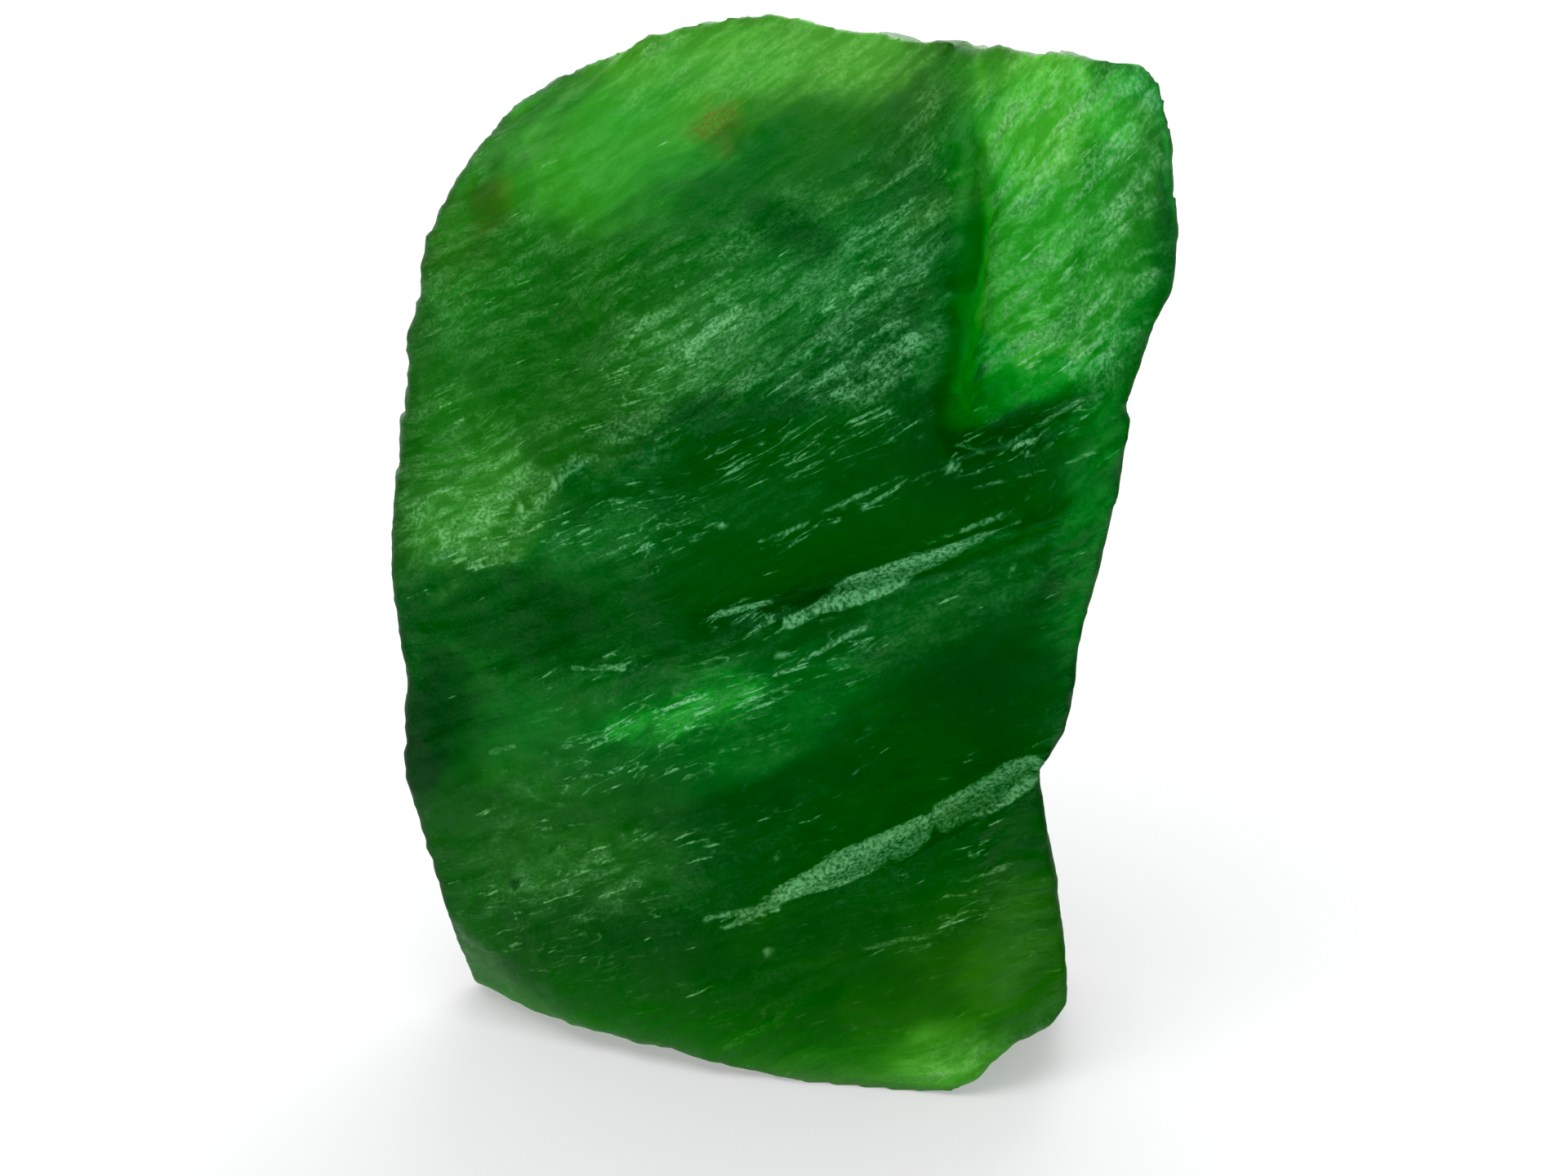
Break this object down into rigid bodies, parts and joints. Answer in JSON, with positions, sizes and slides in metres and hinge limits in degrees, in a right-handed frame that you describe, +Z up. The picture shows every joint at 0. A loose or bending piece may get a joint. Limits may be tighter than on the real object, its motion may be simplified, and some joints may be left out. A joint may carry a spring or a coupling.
{
  "type": "rough fluorite",
  "caption": "Upright lump of rough green fluorite with cleavage faces, stepped ledges and a thin see-through wing, standing on a flat broken base.",
  "frame": {"origin": "on the surface it stands on, under the middle of its bounding box", "axes": "+Z up, the broad stepped face looks along -Y, the thin wing is on the +X side at the top"},
  "size_m": [0.0448, 0.027, 0.0613],
  "materials": {
    "green_fluorite": "broken crystal, see-through green where thin and deep green where thick, glassy cleavage faces with frosted steps"
  },
  "bodies": {
    "root": {"fluorite": "green_fluorite"}
  },
  "joints": []
}
